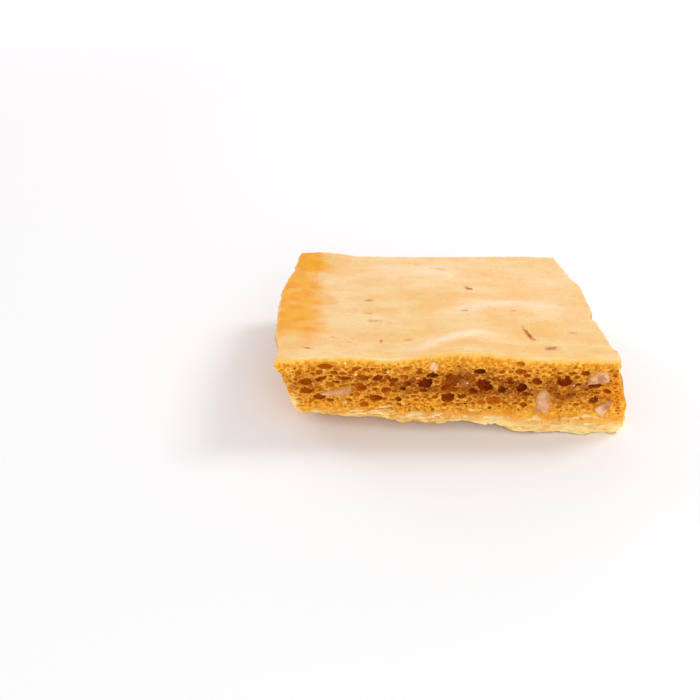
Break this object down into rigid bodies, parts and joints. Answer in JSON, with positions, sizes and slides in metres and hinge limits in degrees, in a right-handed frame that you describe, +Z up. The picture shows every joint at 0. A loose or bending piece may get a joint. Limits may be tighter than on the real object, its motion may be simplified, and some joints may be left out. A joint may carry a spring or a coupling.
{
  "type": "nut brittle",
  "caption": "Broken slab of aerated nut brittle: smooth golden toffee skin on top, snapped sides open with gas bubbles and studded with chopped almond. A sweet that lies flat.",
  "frame": {"origin": "middle of the slab's outer box, on the table that it lies on", "axes": "+X along the long front edge towards its right end, +Y from the front snapped face to the back, +Z up through the thickness"},
  "size_m": [0.0961, 0.0767, 0.024],
  "materials": {
    "toffee": "golden aerated toffee, satin on the poured skin and matt on the snapped sides"
  },
  "bodies": {
    "root": {"brittle_slab": "toffee"}
  },
  "joints": []
}
